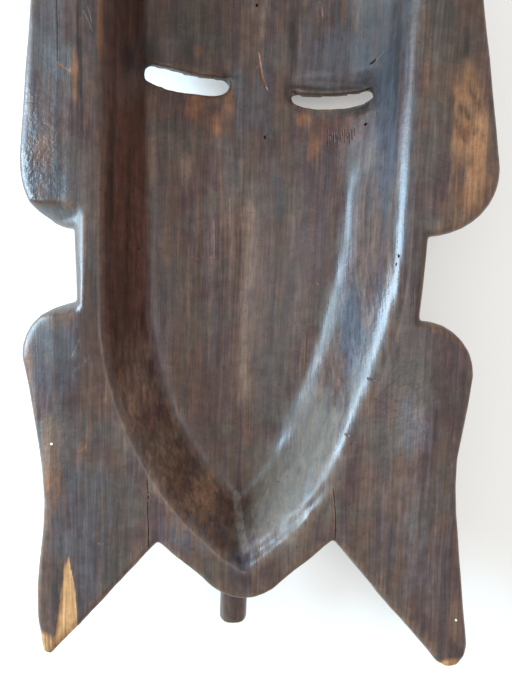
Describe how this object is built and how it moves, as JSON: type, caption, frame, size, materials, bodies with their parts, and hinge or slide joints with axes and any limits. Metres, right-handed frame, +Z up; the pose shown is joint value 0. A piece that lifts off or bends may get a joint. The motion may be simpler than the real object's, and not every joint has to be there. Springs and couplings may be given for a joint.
{
  "type": "bamileke mask",
  "caption": "Wooden face mask lying hollow side up, with slit eyes, rounded side flanges and pointed legs beside the chin.",
  "frame": {"origin": "on the ground, under the centre of the bounding box; the mask lies on its forehead, nose and lips", "axes": "+Z up out of the hollow back, +Y up the face towards the forehead, +X to the right as seen from the back"},
  "size_m": [0.2292, 0.4154, 0.058],
  "materials": {
    "dark_wood": "old dark brown patina with a dull wax sheen, fine lengthwise grain, worn to bare golden wood at the leg tips"
  },
  "bodies": {
    "root": {"mask": "dark_wood"}
  },
  "joints": []
}
